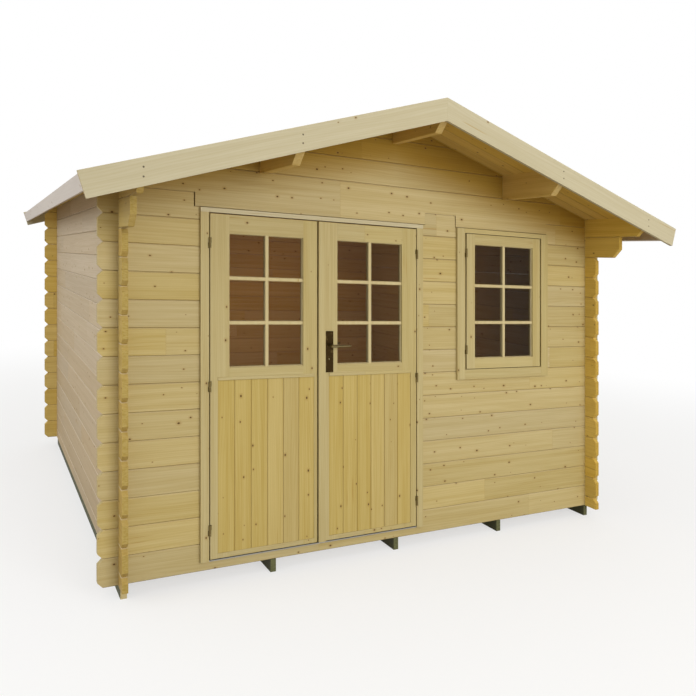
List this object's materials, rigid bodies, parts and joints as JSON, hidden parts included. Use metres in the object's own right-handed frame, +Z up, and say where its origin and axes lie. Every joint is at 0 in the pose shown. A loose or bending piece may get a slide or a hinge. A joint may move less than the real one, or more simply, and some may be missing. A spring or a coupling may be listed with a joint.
{
  "type": "log garden shed",
  "caption": "Log-built garden shed with interlocking corners, glazed double door, casement window and gable roof with a front canopy on purlins.",
  "frame": {"origin": "on the ground under the middle of the roof's outline", "axes": "+X along the front wall to the right seen from the front, +Y from the front wall to the rear wall, +Z up"},
  "size_m": [3.496, 3.628, 2.4662],
  "materials": {
    "log_wood": "planed bare spruce",
    "joinery_wood": "planed bare spruce",
    "trim_wood": "planed pale spruce",
    "roof_wood": "planed spruce boards",
    "bearer_wood": "dark impregnated wood",
    "glass": "clear",
    "threshold_metal": "mill finish",
    "hinge_brass": "brass plated",
    "handle_bronze": "dark bronze"
  },
  "bodies": {
    "shed": {"bearers": "bearer_wood", "floor": "log_wood", "sill_log": "log_wood", "front_wall_left": "log_wood", "front_wall_lower_right": "log_wood", "front_wall_middle": "log_wood", "front_wall_right": "log_wood", "lintel_log": "log_wood", "front_gable": "log_wood", "rear_wall": "log_wood", "rear_gable": "log_wood", "left_wall": "log_wood", "right_wall": "log_wood", "ridge_purlin": "roof_wood", "left_purlin": "roof_wood", "right_purlin": "roof_wood", "left_roof_deck": "roof_wood", "right_roof_deck": "roof_wood", "front_left_bargeboard": "trim_wood", "front_right_bargeboard": "trim_wood", "rear_left_bargeboard": "trim_wood", "rear_right_bargeboard": "trim_wood", "left_fascia": "trim_wood", "right_fascia": "trim_wood", "left_door_jamb": "joinery_wood", "right_door_jamb": "joinery_wood", "door_head": "joinery_wood", "threshold": "threshold_metal", "door_hinge_pins": "hinge_brass", "window_frame": "joinery_wood", "window_sash": "joinery_wood", "window_glass": "glass", "window_hinges": "hinge_brass"},
    "left_leaf": {"left_leaf_frame": "joinery_wood", "left_leaf_panel": "joinery_wood", "left_leaf_glass": "glass", "left_leaf_hinges": "hinge_brass"},
    "right_leaf": {"right_leaf_frame": "joinery_wood", "right_leaf_panel": "joinery_wood", "right_leaf_glass": "glass", "right_leaf_hinges": "hinge_brass", "astragal": "joinery_wood", "handle_plates": "handle_bronze"},
    "lever": {"handle_lever": "handle_bronze"}
  },
  "joints": [
    {"name": "left_door", "type": "hinge", "parent": "shed", "child": "left_leaf", "pos_m": [-1.084, -1.348, 0.9], "axis": [0, 0, -1], "range_deg": [0, 130]},
    {"name": "right_door", "type": "hinge", "parent": "shed", "child": "right_leaf", "pos_m": [0.129, -1.348, 0.9], "axis": [0, 0, 1], "range_deg": [0, 150]},
    {"name": "lever_turn", "type": "hinge", "parent": "right_leaf", "child": "lever", "pos_m": [-0.431, -1.342, 1.165], "axis": [0, 1, 0], "range_deg": [0, 40], "stiffness_Nm_per_rad": 1.2, "springref_deg": -28.65}
  ]
}
